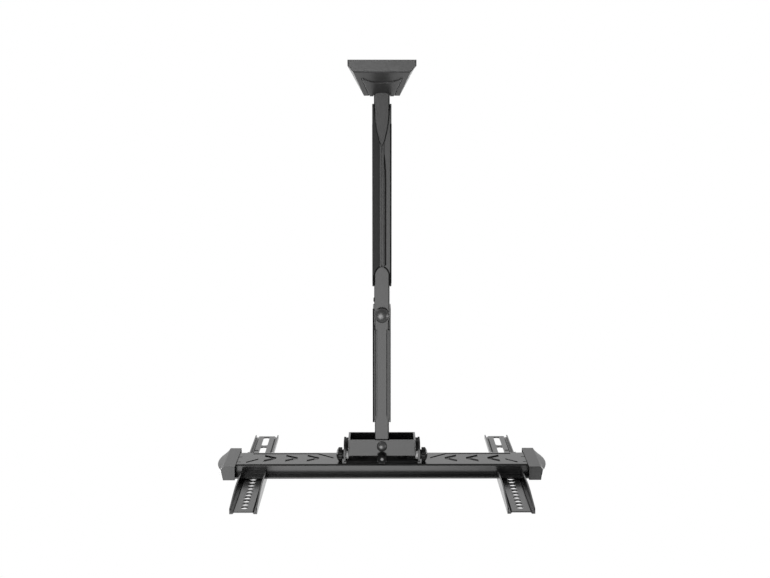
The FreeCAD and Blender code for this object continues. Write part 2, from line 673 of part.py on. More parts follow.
def level_nuts():
    """The nuts of the level bolts, behind the crossbar's web."""
    start_y = BAR_Y - BAR_SHEET - TURN_GAP
    nuts = []
    for x in level_places():
        start = V(x, start_y, 0)
        end = V(x, start_y - LEVEL_NUT_TALL, 0)
        nuts.append(hexagon(LEVEL_NUT_ACROSS, start, end).cut(rod(LEVEL_BOLT_R + BOLT_PLAY, start, end)))
    return Part.makeCompound(nuts)


def web_cut(points):
    """A cutter through the crossbar's web, from points given across and up."""
    return slab(sharp([V(x, BAR_Y + CUT_PAST, z) for x, z in points]), OUTWARD * (BAR_SHEET + 2 * CUT_PAST))


def chevron(tip):
    """An arrow-shaped slot that points to the middle of the bar."""
    open_x = tip + CHEVRON_LENGTH
    half = CHEVRON_STROKE / 2
    notch = tip + half * CHEVRON_LENGTH / CHEVRON_RISE
    upper = [(open_x, CHEVRON_RISE + half), (tip, half), (tip, -half), (open_x, -CHEVRON_RISE - half)]
    return web_cut(upper + [(open_x, half - CHEVRON_RISE), (notch, 0), (open_x, CHEVRON_RISE - half)])


def slash(start, end, stroke):
    """One straight slot of the web, as tall as its stroke."""
    half = stroke / 2
    lower = [(x, z - half) for x, z in (start, end)]
    upper = [(x, z + half) for x, z in (end, start)]
    return web_cut(lower + upper)


def crossbar():
    """Hat-section steel bar: a pierced web to the wall, two walls back and a lip along each edge."""
    inner_y = BAR_Y - BAR_SHEET
    lip_y = BAR_BACK_Y + BAR_SHEET
    wall = BAR_TOP - BAR_SHEET
    half = [(BAR_Y, BAR_TOP, BAR_BEND), (lip_y, BAR_TOP, 0), (lip_y, LIP_TOP, 0)]
    half += [(BAR_BACK_Y, LIP_TOP, 0), (BAR_BACK_Y, wall, 0), (inner_y, wall, 0)]
    section = half + [(y, -z, bend) for y, z, bend in reversed(half)]
    bar = slab([(V(-BAR_END, y, z), bend) for y, z, bend in section], ACROSS * BAR_LENGTH)
    pitch = (BAR_END - CHEVRON_LAST_IN - CHEVRON_FIRST) / (CHEVRON_COUNT - 1)
    cuts = [chevron(CHEVRON_FIRST + pitch * step) for step in range(CHEVRON_COUNT)]
    foot, head = [(BAR_END - inset, z) for inset, z in zip(OUTER_SLASH_IN, OUTER_SLASH_Z)]
    cuts.append(slash(foot, head, SLASH_STROKE))
    cuts.append(slash(INNER_SLASH_HEAD, INNER_SLASH_FOOT, SLASH_STROKE))
    trim_x = (INNER_SLASH_HEAD[0] - CUT_PAST, BAR_END - TRIM_SLOT_IN)
    cuts.append(slash(*[(x, INNER_SLASH_HEAD[1]) for x in trim_x], TRIM_SLOT_STROKE))
    for z in CLIP_PLACES:
        cuts.append(slash(*[(BAR_END - inset, z) for inset in CLIP_IN], CLIP_TALL))
    cuts += [flip_x(cut) for cut in cuts]
    swing = LEVEL_BOLT_AT * math.sin(math.radians(LEVEL_TURN))
    through = OUTWARD * (BAR_SHEET + 2 * CUT_PAST)
    for x in level_places():
        at = V(x, BAR_Y + CUT_PAST, 0)
        if x:
            cuts.append(capsule(LEVEL_BOLT_R + SLIDE_PLAY, at - UP * swing, at + UP * swing, through))
        else:
            cuts.append(rod(LEVEL_BOLT_R + BOLT_PLAY, at, at + through))
    return bar.cut(cuts)


def cap_ring(y, past, bulge):
    """The end cap's outline at one depth: straight inside, straight or bowed past the end of the bar."""
    top = LIP_TOP + COVER_PLAY + CAP_WALL
    out = BAR_END + past
    inner_low, outer_low = V(CAP_INNER_EDGE, y, -top), V(out, y, -top)
    inner_high, outer_high = V(CAP_INNER_EDGE, y, top), V(out, y, top)
    end = Part.LineSegment(outer_low, outer_high)
    if bulge:
        end = Part.Arc(outer_low, V(out + bulge, y, 0), outer_high)
    sides = [Part.LineSegment(inner_low, outer_low).toShape(), end.toShape()]
    sides.append(Part.LineSegment(outer_high, inner_high).toShape())
    sides.append(Part.LineSegment(inner_high, inner_low).toShape())
    return Part.Wire(sides)


def end_cap():
    """Moulded cap over the end of the crossbar: a flat face, a bowed bevel at its end and a slight taper."""
    face_y = BAR_Y + COVER_PLAY + CAP_WALL
    bow_y = face_y - CAP_BEVEL
    back_y = BAR_BACK_Y - COVER_PLAY - CAP_WALL
    face = cap_ring(face_y, CAP_FACE_PAST, 0)
    bow = cap_ring(bow_y, CAP_END_PAST, CAP_BULGE)
    back = cap_ring(back_y, CAP_END_PAST - CAP_TAPER, CAP_BULGE)
    taper = Part.makeLoft([bow, back], True, True)
    skin = Part.makeLoft([face, bow], True, True).fuse(taper).removeSplitter()
    room_x = (CAP_INNER_EDGE - CUT_PAST, BAR_END + COVER_PLAY)
    room_z = LIP_TOP + COVER_PLAY
    return skin.cut(box(room_x, (back_y + CAP_WALL, face_y - CAP_WALL), (-room_z, room_z)))


def flange_profile(x):
    """The side of an upright: shallow at both ends, bellied below the bar, a hook in front of each lip."""
    end = UPRIGHT_LENGTH / 2
    notch_y = BAR_BACK_Y - SLIDE_PLAY
    seat_z = LIP_TOP + TURN_GAP
    tip_z = LIP_TOP - HOOK_DROP
    head_z = LIP_TOP + HOOK_HEAD
    corners = [(UPRIGHT_BACK_Y, -end, 0), (UPRIGHT_BACK_Y + UPRIGHT_FOOT_DEPTH, -end, UPRIGHT_FOOT_ROUND)]
    corners += [(UPRIGHT_BACK_Y + UPRIGHT_BELLY_DEPTH, UPRIGHT_BELLY_UP - end, UPRIGHT_BELLY_R)]
    corners += [(HOOK_FRONT_Y, -LIP_TOP - HOOK_ROOT, 0), (HOOK_FRONT_Y, -tip_z, FLANGE_ROUND)]
    corners += [(HOOK_Y, -tip_z, 0), (HOOK_Y, -seat_z, 0), (notch_y, -seat_z, 0), (notch_y, seat_z, 0)]
    corners += [(HOOK_Y, seat_z, 0), (HOOK_Y, tip_z, 0), (HOOK_FRONT_Y, tip_z, FLANGE_ROUND)]
    corners += [(HOOK_FRONT_Y, head_z, 0), (UPRIGHT_BACK_Y + UPRIGHT_NECK_DEPTH, head_z + NECK_RUN, 0)]
    corners += [(UPRIGHT_BACK_Y + UPRIGHT_TOP_DEPTH, end, 0), (UPRIGHT_BACK_Y, end, 0)]
    return [(V(x, y, z), bend) for y, z, bend in corners]


def upright_web():
    """The pressed web of an upright: a flat raised to the wall, between two strips that lie on the screen."""
    side = UPRIGHT_WIDTH / 2
    flat = UPRIGHT_FLAT / 2
    right = [(flat, UPRIGHT_RAISE), (flat + UPRIGHT_RAISE, 0), (side, 0)]
    back = [(-x, y) for x, y in reversed(right)] + right
    front = [(x, y + UPRIGHT_SHEET) for x, y in reversed(back)]
    points = [V(x, UPRIGHT_BACK_Y + y, -UPRIGHT_LENGTH / 2) for x, y in back + front]
    return slab(sharp(points), UP * UPRIGHT_LENGTH)


def upright():
    """Steel channel behind the screen: a ladder of holes below, slots above, hooked round the crossbar."""
    side = UPRIGHT_WIDTH / 2
    end = UPRIGHT_LENGTH / 2
    flange = slab(flange_profile(side - UPRIGHT_SHEET), ACROSS * UPRIGHT_SHEET)
    bridge_x = (UPRIGHT_SHEET - side, side - UPRIGHT_SHEET)
    bridge_y = (UPRIGHT_BACK_Y + UPRIGHT_SHEET, HOOK_FRONT_Y)
    bridge = box(bridge_x, bridge_y, (BRIDGE_LOW, BRIDGE_HIGH))
    body = upright_web().fuse([flange, flip_x(flange), bridge]).removeSplitter()
    through = OUTWARD * (UPRIGHT_SHEET + 2 * CUT_PAST)
    front = UPRIGHT_Y + CUT_PAST
    cuts = []
    for step in range(LADDER_COUNT):
        at = V(0, front, LADDER_FOOT + LADDER_PITCH * step - end)
        cuts.append(rod(SCREEN_HOLE_R, at, at + through))
    radius = SLOT_WIDTH / 2
    for low, high in (LONG_SLOT_DOWN, SHORT_SLOT_DOWN):
        start, stop = V(0, front, end - low + radius), V(0, front, end - high - radius)
        cuts.append(capsule(radius, start, stop, through))
    side_hole = V(SIDE_HOLE_OFF, front, end - SIDE_HOLE_DOWN)
    cuts.append(rod(SIDE_HOLE_R, side_hole, side_hole + through))
    cuts.append(rod(LATCH_SCREW_R + BOLT_PLAY, on_axis(LATCH_Y, BRIDGE_LOW), on_axis(LATCH_Y, BRIDGE_HIGH)))
    return body.cut(cuts)


def latch_screw():
    """Screw down through the bridge of an upright, which clamps on the crossbar's upper lip."""
    seat = on_axis(LATCH_Y, BRIDGE_HIGH)
    head = rod(LATCH_HEAD_R, seat, seat + UP * LATCH_HEAD_TALL)
    return head.fuse(rod(LATCH_SCREW_R, on_axis(LATCH_Y, LIP_TOP + TURN_GAP), seat))


def beside(shape):
    """A piece of an upright, set at the right-hand screen bolts."""
    return shape.translated(ACROSS * (SCREEN_SPACING / 2))


def pieces():
    """Every piece of the mount by name, in the place it has when the arms point straight out."""
    lower_cover = wall_cover()
    lower_cap = elbow_cap()
    bolt = tilt_bolt()
    knob = tilt_knob()
    cap = end_cap()
    rail = beside(upright())
    latch = beside(latch_screw())
    return {
        "wall_plate": wall_plate(),
        "wall_cover_lower": lower_cover,
        "wall_cover_upper": flip_z(lower_cover),
        "wall_pivot_bolt": pivot_bolt(WALL_PIVOT_Y, EAR_HIGH),
        "wall_pivot_nut": pivot_nut(WALL_PIVOT_Y, EAR_HIGH),
        "wall_pivot_washers": washer_pair(WALL_PIVOT_Y, WASHER_R, PIVOT_BOLT_R, ARM1_TOP),
        "inner_arm": inner_arm(),
        "inner_arm_sleeve": inner_arm_sleeve(),
        "elbow_bolt": pivot_bolt(ELBOW_Y, ARM1_TOP),
        "elbow_nut": pivot_nut(ELBOW_Y, ARM1_TOP),
        "elbow_washers": washer_pair(ELBOW_Y, WASHER_R, PIVOT_BOLT_R, ARM2_TOP),
        "elbow_cap_lower": lower_cap,
        "elbow_cap_upper": flip_z(lower_cap),
        "outer_arm": outer_arm(),
        "outer_arm_sleeve": outer_arm_sleeve(),
        "swivel_bracket": swivel_bracket(),
        "head_pivot_bolt": head_pivot_bolt(),
        "head_pivot_nut": head_pivot_nut(),
        "head_washers": washer_pair(HEAD_Y, HEAD_WASHER_R, HEAD_BOLT_R, ARM2_TOP),
        "tilt_bolts": Part.makeCompound([bolt, flip_x(bolt)]),
        "tilt_washers": side_rings(TILT_WASHER_R, HEAD_SIDE, TILT_EAR_X),
        "tilt_bracket": tilt_bracket(),
        "knob_washers": side_rings(TILT_WASHER_R, TILT_SIDE, KNOB_X),
        "tilt_knob_right": knob,
        "tilt_knob_left": flip_x(knob),
        "level_bolts": level_bolts(),
        "level_nuts": level_nuts(),
        "level_lock_screw": level_lock_screw(),
        "crossbar": crossbar(),
        "end_cap_right": cap,
        "end_cap_left": flip_x(cap),
        "upright_right": rail,
        "upright_left": flip_x(rail),
        "latch_screw_right": latch,
        "latch_screw_left": flip_x(latch),
    }


os.makedirs("parts", exist_ok=True)
for name, shape in pieces().items():
    shape.exportStep(f"parts/{name}.step")
    print(name, len(shape.Solids), shape.isValid(), round(shape.Volume))
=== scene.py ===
# %% [markdown]
# # A television wall mount, dressed for its picture
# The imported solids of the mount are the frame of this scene. Every piece is already in its place, in metres, with
# the wall at Y = 0, the screen towards -Y and +Z up. This lesson sets the view, the light and the finishes, and
# adds the small hardware that the solids leave plain.

# %% Load the frame
import json
import math

import bpy
import bmesh
from mathutils import Matrix, Vector


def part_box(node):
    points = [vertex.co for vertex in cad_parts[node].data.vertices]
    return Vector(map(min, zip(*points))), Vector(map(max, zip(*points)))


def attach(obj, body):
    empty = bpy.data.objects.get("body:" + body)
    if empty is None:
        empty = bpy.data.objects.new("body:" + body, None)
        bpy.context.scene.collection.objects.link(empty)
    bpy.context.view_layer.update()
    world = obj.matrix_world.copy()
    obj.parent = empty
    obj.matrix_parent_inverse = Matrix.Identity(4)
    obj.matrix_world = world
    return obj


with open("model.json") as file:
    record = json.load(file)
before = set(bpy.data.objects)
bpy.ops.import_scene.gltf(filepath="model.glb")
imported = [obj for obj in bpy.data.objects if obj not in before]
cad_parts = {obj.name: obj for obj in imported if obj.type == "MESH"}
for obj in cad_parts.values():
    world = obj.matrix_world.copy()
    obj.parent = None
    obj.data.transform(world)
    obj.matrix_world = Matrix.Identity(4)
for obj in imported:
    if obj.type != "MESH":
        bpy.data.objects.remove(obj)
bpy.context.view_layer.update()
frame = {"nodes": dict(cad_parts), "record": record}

# %% [markdown]
# The picture was taken from below and close to the wall, looking up past the two arms. The camera could be aimed by
# a constraint. Here it is placed by a point and two directions, so the tilt can be read straight from the numbers.
# The lens is given by its focal length in pixels for an image 770 pixels wide.

# %% Camera
IMAGE_WIDTH = 770
IMAGE_HEIGHT = 578
FOCAL_PIXELS = 1360.0
SENSOR = 36.0
CLIP_END = 50.0
CAMERA_AT = Vector((0.0057, -0.045, -2.103))
CAMERA_TILT = math.radians(8.28)
CAMERA_YAW = 0.005


def camera_turn():
    """Turn the camera to look up, with the wall at the top of the picture."""
    forward = Vector((-CAMERA_YAW, -math.sin(CAMERA_TILT), math.cos(CAMERA_TILT))).normalized()
    right = forward.cross(Vector((0, 1, 0))).normalized()
    above = right.cross(forward)
    return Matrix((right, above, -forward)).transposed()


camera_data = bpy.data.cameras.new("camera")
camera_data.sensor_width = SENSOR
camera_data.lens = FOCAL_PIXELS * SENSOR / IMAGE_WIDTH
camera_data.clip_end = CLIP_END
camera = bpy.data.objects.new("camera", camera_data)
camera.matrix_world = Matrix.Translation(CAMERA_AT) @ camera_turn().to_4x4()
bpy.context.scene.collection.objects.link(camera)
bpy.context.scene.camera = camera
bpy.context.scene.view_settings.view_transform = "Standard"
print("lens:", round(camera_data.lens, 2), "mm for", IMAGE_WIDTH, "by", IMAGE_HEIGHT)

# %% [markdown]
# A black part on white is lit so that its sides stay dark and its outline stays crisp. The world is plain white
# where the camera looks. Reflections see the same white overhead, and it fades to grey at the horizon, as if dark
# screens stood round the set. The world gives the surfaces only a little light, so folds of the steel stay dark.

# %% World
AMBIENT = 0.05
HORIZON = 0.12
FADE = (0.2, 0.8)


def combine(tree, operation, one, two):
    """One step of sums in a node tree, between sockets or plain numbers."""
    node = tree.nodes.new("ShaderNodeMath")
    node.operation = operation
    for place, value in enumerate((one, two)):
        if isinstance(value, float):
            node.inputs[place].default_value = value
        else:
            tree.links.new(value, node.inputs[place])
    return node.outputs[0]


def ramp(tree, value, span, ends):
    """A straight ramp of a value over a span, from one end value to the other."""
    node = tree.nodes.new("ShaderNodeMapRange")
    node.inputs["From Min"].default_value, node.inputs["From Max"].default_value = span
    node.inputs["To Min"].default_value, node.inputs["To Max"].default_value = ends
    tree.links.new(value, node.inputs["Value"])
    return node.outputs["Result"]


world = bpy.data.worlds.new("studio")
bpy.context.scene.world = world
world.use_nodes = True
sky = world.node_tree
sky.nodes.clear()
path = sky.nodes.new("ShaderNodeLightPath")
toward = sky.nodes.new("ShaderNodeTexCoord")
split = sky.nodes.new("ShaderNodeSeparateXYZ")
sky.links.new(toward.outputs["Generated"], split.inputs[0])
overhead = ramp(sky, split.outputs["Z"], FADE, (HORIZON, 1.0))
mirrored = combine(sky, "MULTIPLY", path.outputs["Is Glossy Ray"], overhead)
seen = combine(sky, "MAXIMUM", path.outputs["Is Camera Ray"], path.outputs["Is Transmission Ray"])
back = sky.nodes.new("ShaderNodeBackground")
back.inputs["Color"].default_value = (1, 1, 1, 1)
strength = combine(sky, "MAXIMUM", seen, combine(sky, "MAXIMUM", mirrored, AMBIENT))
sky.links.new(strength, back.inputs["Strength"])
out = sky.nodes.new("ShaderNodeOutputWorld")
sky.links.new(back.outputs[0], out.inputs["Surface"])
print("world: horizon", HORIZON, "ambient", AMBIENT)

# %% [markdown]
# The floor lies below the camera, out of its way, and shows only in views from above. Its paint is pale, and a glow
# that only the camera and reflections see keeps it pale, so no more light has to fall on the part. A dark mat under
# the part would keep the undersides black, so reflections see the glow fade out towards the middle.

# %% Floor
FLOOR_Z = -2.6
FLOOR_HALF = 25.0
FLOOR_GREY = 0.82
FLOOR_FADE = (2.0, 20.0)
FLOOR_SHOWN = (0.8, 0.96)
MAT_EDGE = (4.5, 8.0)
MAT_GLOW = (0.04, 0.9)

floor_mesh = bpy.data.meshes.new("floor")
corners = [(-1, -1), (1, -1), (1, 1), (-1, 1)]
floor_mesh.from_pydata([(FLOOR_HALF * x, FLOOR_HALF * y, 0) for x, y in corners], [], [(0, 1, 2, 3)])
floor = bpy.data.objects.new("floor", floor_mesh)
floor.location.z = FLOOR_Z
bpy.context.scene.collection.objects.link(floor)
paint = bpy.data.materials.new("pale_floor")
paint.use_nodes = True
coat = paint.node_tree
shader = coat.nodes["Principled BSDF"]
shader.inputs["Base Color"].default_value = (FLOOR_GREY, FLOOR_GREY, FLOOR_GREY, 1)
shader.inputs["Roughness"].default_value = 0.7
shader.inputs["Emission Color"].default_value = (1, 1, 1, 1)
path = coat.nodes.new("ShaderNodeLightPath")
place = coat.nodes.new("ShaderNodeTexCoord")
away = coat.nodes.new("ShaderNodeVectorMath")
away.operation = "LENGTH"
coat.links.new(place.outputs["Object"], away.inputs[0])
glow = ramp(coat, away.outputs["Value"], MAT_EDGE, MAT_GLOW)
mirrored = combine(coat, "MULTIPLY", path.outputs["Is Glossy Ray"], glow)
pale = ramp(coat, away.outputs["Value"], FLOOR_FADE, FLOOR_SHOWN)
shown = combine(coat, "MULTIPLY", path.outputs["Is Camera Ray"], pale)
coat.links.new(combine(coat, "MAXIMUM", shown, mirrored), shader.inputs["Emission Strength"])
floor_mesh.materials.append(paint)
print("floor at", FLOOR_Z, "m")

# %% [markdown]
# A black coat shows its lamps more than its own tone, so the lamps are placed by what each face mirrors. The large
# soft lamp lies below the part, a little to the left and towards the screen, where the undersides of the arms and
# of the bar look. A small one beside the camera reaches the hood. The lamp at the right puts a second spark on the
# domes. Three more stand high, two beside the screen and one behind the wall: they light the faces that the picture
# does not show, from directions that its faces do not mirror.

# %% Lamps
def soft_lamp(name, place, target, size, power):
    """Hang a square lamp at a place and aim it at a target."""
    data = bpy.data.lights.new(name, "AREA")
    data.shape = "SQUARE"
    data.size = size
    data.energy = power
    lamp = bpy.data.objects.new(name, data)
    aim = Vector(target) - Vector(place)
    lamp.matrix_world = Matrix.Translation(place) @ aim.to_track_quat("-Z", "Y").to_matrix().to_4x4()
    lamp.visible_camera = False
    bpy.context.scene.collection.objects.link(lamp)
    print(name, "stands", round(aim.length, 2), "m away")


MIDDLE = (0.0, -0.4, 0.0)
soft_lamp("key", (0.6, -0.95, -2.1), MIDDLE, size=1.8, power=50.0)
soft_lamp("side", (-2.0, -0.85, -0.9), MIDDLE, size=0.4, power=7.0)
soft_lamp("front", (0.0, -0.06, -2.15), (0.0, -0.06, 0.0), size=0.26, power=0.8)
soft_lamp("screen_left", (2.0, -1.4, 1.8), MIDDLE, size=2.0, power=55.0)
soft_lamp("screen_right", (-2.0, -1.4, 1.8), MIDDLE, size=2.0, power=55.0)
soft_lamp("wall", (1.4, 1.6, 1.4), MIDDLE, size=1.6, power=50.0)

# %% [markdown]
# The steel is coated with a charcoal powder that melts into a fine, slightly pebbled skin. Moulded plastic has a
# finer, flatter grain. Both need the same ingredients: a slow drift of tone, a fine grain, and paler edges, which
# stand partly for coat rubbed by handling and partly for a painted highlight along every edge. They could be
# painted as pictures, but nodes stay sharp at any distance. One node group holds them, and each material gives it
# its own sizes.

# %% Shared finish: coat grain
DRIFT_SCALE = 28.0
EDGE_WIDTH = 0.0008
EDGE_AGREE = (0.995, 0.85)
EDGE_SAMPLES = 4
INPUTS = {"Dark": "Color", "Light": "Color", "Rubbed And Lit Edge": "Color", "Grain Scale": "Float", "Roughness Low": "Float",
          "Roughness High": "Float", "Edge Width": "Float"}
OUTPUTS = {"Color": "Color", "Roughness": "Float", "Height": "Float"}


def mixed(tree, factor, one, two):
    """A blend of two colours by a factor."""
    node = tree.nodes.new("ShaderNodeMix")
    node.data_type = "RGBA"
    tree.links.new(factor, node.inputs["Factor"])
    tree.links.new(one, node.inputs["A"])
    tree.links.new(two, node.inputs["B"])
    return node.outputs["Result"]


def coat_group():
    """A node group that puts out a colour, a roughness and a bump height for a coated surface."""
    group = bpy.data.node_groups.new("coat_grain", "ShaderNodeTree")
    for side, sockets in (("INPUT", INPUTS), ("OUTPUT", OUTPUTS)):
        for label, kind in sockets.items():
            group.interface.new_socket(name=label, in_out=side, socket_type="NodeSocket" + kind)
    nodes, links = group.nodes, group.links
    given = nodes.new("NodeGroupInput")
    made = nodes.new("NodeGroupOutput")
    place = nodes.new("ShaderNodeTexCoord")
    drift = nodes.new("ShaderNodeTexNoise")
    drift.inputs["Scale"].default_value = DRIFT_SCALE
    drift.inputs["Detail"].default_value = 3.0
    links.new(place.outputs["Object"], drift.inputs["Vector"])
    grain = nodes.new("ShaderNodeTexNoise")
    grain.inputs["Detail"].default_value = 2.0
    links.new(place.outputs["Object"], grain.inputs["Vector"])
    links.new(given.outputs["Grain Scale"], grain.inputs["Scale"])
    tone = mixed(group, drift.outputs["Fac"], given.outputs["Dark"], given.outputs["Light"])
    rounded = nodes.new("ShaderNodeBevel")
    rounded.samples = EDGE_SAMPLES
    links.new(given.outputs["Edge Width"], rounded.inputs["Radius"])
    flat = nodes.new("ShaderNodeNewGeometry")
    agree = nodes.new("ShaderNodeVectorMath")
    agree.operation = "DOT_PRODUCT"
    links.new(rounded.outputs["Normal"], agree.inputs[0])
    links.new(flat.outputs["Normal"], agree.inputs[1])
    # The edge colour is mixed in where the rounded normal turns away from the flat one: partly rubbed coat, partly
    # a painted highlight on every edge.
    edge = ramp(group, agree.outputs["Value"], EDGE_AGREE, (0.0, 1.0))
    rubbed_and_lit = combine(group, "MULTIPLY", edge, drift.outputs["Fac"])
    links.new(mixed(group, rubbed_and_lit, tone, given.outputs["Rubbed And Lit Edge"]), made.inputs["Color"])
    rough = nodes.new("ShaderNodeMapRange")
    links.new(grain.outputs["Fac"], rough.inputs["Value"])
    links.new(given.outputs["Roughness Low"], rough.inputs["To Min"])
    links.new(given.outputs["Roughness High"], rough.inputs["To Max"])
    links.new(rough.outputs["Result"], made.inputs["Roughness"])
    links.new(grain.outputs["Fac"], made.inputs["Height"])
    return group


coat_grain = coat_group()
print("coat_grain has", len(coat_grain.nodes), "nodes")

# %% [markdown]
# Each material is the same shader with its own numbers. The coat is nearly black, and how much it mirrors sets how
# bright a face looks under the lamps. The domes mirror most. The folded bracket behind the head is coated thinly
# inside its folds, so its upright faces are matte, and its tone is a little darker than the other steel as painted
# shade. Edges get a narrow rounding in the shading, so they catch light. A rounding in the mesh would do the same,
# but the solids keep the edges they were built with.

# %% Finish maker
TONE_DRIFT = 0.12
LOOKS_DOWN = (-0.9, -0.5)


def finish(name, tone, rubbed_and_lit_edge, grain, rough, bump, mirror, matte=0.0):
    """A coated finish: a grey tone, paler at the edges as rubbed coat and painted highlight, with grain, a share of
    mirror and matte upright faces.
    """
    material = bpy.data.materials.new(name)
    material.use_nodes = True
    tree = material.node_tree
    nodes, links = tree.nodes, tree.links
    shader = nodes["Principled BSDF"]
    shader.inputs["Specular IOR Level"].default_value = mirror
    group = nodes.new("ShaderNodeGroup")
    group.node_tree = coat_grain
    greys = {"Dark": (1 - TONE_DRIFT) * tone, "Light": (1 + TONE_DRIFT) * tone, "Rubbed And Lit Edge": rubbed_and_lit_edge}
    for label, grey in greys.items():
        group.inputs[label].default_value = (grey, grey, grey, 1)
    group.inputs["Grain Scale"].default_value = grain
    group.inputs["Roughness Low"].default_value, group.inputs["Roughness High"].default_value = rough
    group.inputs["Edge Width"].default_value = EDGE_WIDTH
    round_edge = nodes.new("ShaderNodeBevel")
    round_edge.samples = EDGE_SAMPLES
    round_edge.inputs["Radius"].default_value = EDGE_WIDTH
    rise = nodes.new("ShaderNodeBump")
    rise.inputs["Strength"].default_value = 1.0
    rise.inputs["Distance"].default_value = bump
    links.new(round_edge.outputs["Normal"], rise.inputs["Normal"])
    links.new(group.outputs["Height"], rise.inputs["Height"])
    links.new(rise.outputs["Normal"], shader.inputs["Normal"])
    links.new(group.outputs["Color"], shader.inputs["Base Color"])
    roughness = group.outputs["Roughness"]
    if matte:
        place = nodes.new("ShaderNodeTexCoord")
        split = nodes.new("ShaderNodeSeparateXYZ")
        links.new(place.outputs["Normal"], split.inputs[0])
        roughness = combine(tree, "MAXIMUM", roughness, ramp(tree, split.outputs["Z"], LOOKS_DOWN, (0.0, matte)))
    links.new(roughness, shader.inputs["Roughness"])
    return material


print("roughness of a matte finish changes at Z", LOOKS_DOWN)

# %% [markdown]
# The mount has six plain finishes, one for each material of the record, and a few special ones for single pieces.
# Their tones and shares of mirror could be guessed from samples of powder coat and nylon. Here they were set by
# comparing the brightness of each face with the picture, because the lamps decide most of what a black face shows.

# %% Finishes
# The second grey of each finish is its edge grey, paler than the tone: rubbed coat and painted highlight along the
# edges.
FINISHES = {
    "steel": finish("steel_powder_coat", tone=0.012, rubbed_and_lit_edge=0.1, grain=1400.0, rough=(0.16, 0.23), bump=0.00002,
                    mirror=0.34),
    "cover": finish("moulded_cover", tone=0.011, rubbed_and_lit_edge=0.06, grain=2200.0, rough=(0.34, 0.42), bump=0.00003,
                    mirror=0.78),
    "sleeve": finish("moulded_sleeve", tone=0.018, rubbed_and_lit_edge=0.04, grain=2200.0, rough=(0.3, 0.38), bump=0.00003,
                     mirror=0.34),
    "knob": finish("black_knob", tone=0.004, rubbed_and_lit_edge=0.05, grain=2600.0, rough=(0.24, 0.34), bump=0.00003,
                   mirror=0.16),
    "fastener": finish("blackened_steel", tone=0.01, rubbed_and_lit_edge=0.08, grain=3000.0, rough=(0.28, 0.42), bump=0.00001,
                       mirror=0.35),
    "washer": finish("pale_nylon", tone=0.32, rubbed_and_lit_edge=0.36, grain=2000.0, rough=(0.4, 0.5), bump=0.00001,
                     mirror=0.4),
}
DOME = finish("satin_dome", tone=0.02, rubbed_and_lit_edge=0.05, grain=2600.0, rough=(0.3, 0.36), bump=0.00001, mirror=0.95)
CAP = finish("moulded_cap", tone=0.013, rubbed_and_lit_edge=0.06, grain=2200.0, rough=(0.32, 0.4), bump=0.00003, mirror=0.43)
# The folded bracket's tone is a little darker than the steel's: painted shade on the bracket behind the head.
FOLDED_SHADED = finish("folded_coat_painted_shade", tone=0.01, rubbed_and_lit_edge=0.06, grain=1400.0, rough=(0.16, 0.23), bump=0.00002, mirror=0.34,
                matte=0.85)
RUBBER = finish("black_rubber", tone=0.004, rubbed_and_lit_edge=0.008, grain=2600.0, rough=(0.6, 0.75), bump=0.00002, mirror=0.12)
ZINC = finish("bare_zinc", tone=0.16, rubbed_and_lit_edge=0.3, grain=3000.0, rough=(0.3, 0.4), bump=0.00001, mirror=0.5)
SPECIAL = {
    "elbow_cap_lower": DOME, "elbow_cap_upper": DOME, "head_pivot_bolt": DOME, "head_pivot_nut": DOME,
    "end_cap_right": CAP, "end_cap_left": CAP, "tilt_bracket": FOLDED_SHADED, "level_lock_screw": RUBBER,
}
for row in frame["record"]["subparts"]:
    for slot in frame["nodes"][row["node"]].material_slots:
        slot.material = SPECIAL.get(row["node"], FINISHES[row["material_slot"]])
print("finishes:", ", ".join(FINISHES), "and", len(set(SPECIAL.values())), "special ones on the solids")

# %% [markdown]
# Small hardware is added as separate pieces, each of which rides on the body it is fixed to. It could be cut into
# the solids, but thin trim is quicker to shape as a mesh. Two helpers make the shapes: a plate pushed out of an
# outline, with broken edges, and a round bead laid along a line.

# %% Helpers for small pieces
SHARP = 0.6
BEAD_SIDES = 10
UP = Vector((0, 0, 1))
SIDES = (("right", 1), ("left", -1))


def add_piece(name, shape, body, material):
    """Turn a finished shape into a piece with a material, riding on a body."""
    mesh = bpy.data.meshes.new(name)
    bmesh.ops.recalc_face_normals(shape, faces=shape.faces)
    shape.to_mesh(mesh)
    shape.free()
    mesh.materials.append(material)
    piece = bpy.data.objects.new(name, mesh)
    bpy.context.scene.collection.objects.link(piece)
    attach(piece, body)
    print(name, "rides on", body, "with", len(mesh.polygons), "faces")


def add_rubber(name, shape, body):
    """Add a piece of black rubber, with the black rubber finish."""
    add_piece(name, shape, body, RUBBER)


def plate(outline, along, broken):
    """A solid plate from a flat outline, pushed along a vector, with its edges broken by a small bevel."""
    shape = bmesh.new()
    face = shape.faces.new([shape.verts.new(point) for point in outline])
    pushed = bmesh.ops.extrude_face_region(shape, geom=[face])
    moved = [item for item in pushed["geom"] if isinstance(item, bmesh.types.BMVert)]
    bmesh.ops.translate(shape, verts=moved, vec=along)
    sharp = [edge for edge in shape.edges if edge.calc_face_angle(0.0) > SHARP]
    bmesh.ops.bevel(shape, geom=sharp, offset=broken, segments=2, affect="EDGES", profile=0.6)
    return shape


